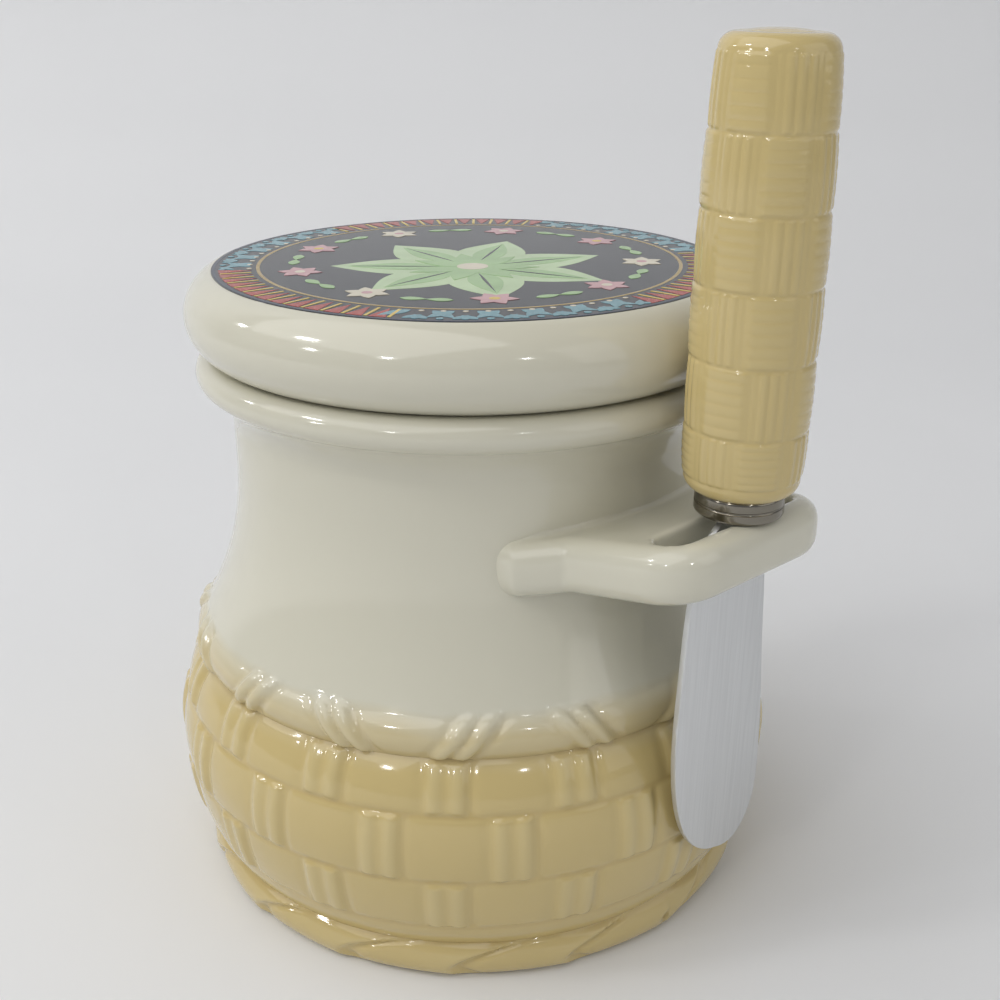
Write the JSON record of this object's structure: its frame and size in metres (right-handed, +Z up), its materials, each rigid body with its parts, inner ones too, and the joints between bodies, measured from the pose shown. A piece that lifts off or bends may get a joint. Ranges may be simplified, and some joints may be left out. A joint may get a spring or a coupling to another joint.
{
  "type": "relish jar",
  "caption": "Round ceramic relish jar with a basket-moulded belly, a lift-off lid with a printed top, and a spreader standing in a slotted ledge at the neck.",
  "frame": {"origin": "centre of the foot ring, on the table", "axes": "+Z up along the jar's axis; +X from the jar's axis towards the ledge that holds the spreader"},
  "size_m": [0.1211, 0.1078, 0.1462],
  "materials": {
    "glazed_body": "gloss",
    "glazed_rest": "gloss",
    "glazed_lid": "gloss",
    "printed_top": "gloss",
    "glazed_handle": "gloss",
    "polished_steel": "polished",
    "blade_steel": "satin",
    "cement": "matte"
  },
  "bodies": {
    "jar": {"jar_body": "glazed_body", "spreader_rest": "glazed_rest"},
    "lid": {"lid": "glazed_lid", "lid_decal": "printed_top"},
    "spreader": {"spreader_handle": "glazed_handle", "spreader_ferrule": "polished_steel", "spreader_blade": "blade_steel", "handle_cement": "cement"}
  },
  "joints": [
    {"name": "lid_lift", "type": "slide", "parent": "jar", "child": "lid", "axis": [0, 0, 1], "range_m": [0, 0.06]},
    {"name": "spreader_lift", "type": "slide", "parent": "jar", "child": "spreader", "axis": [0.0209, 0, 0.9998], "range_m": [0, 0.095]}
  ]
}
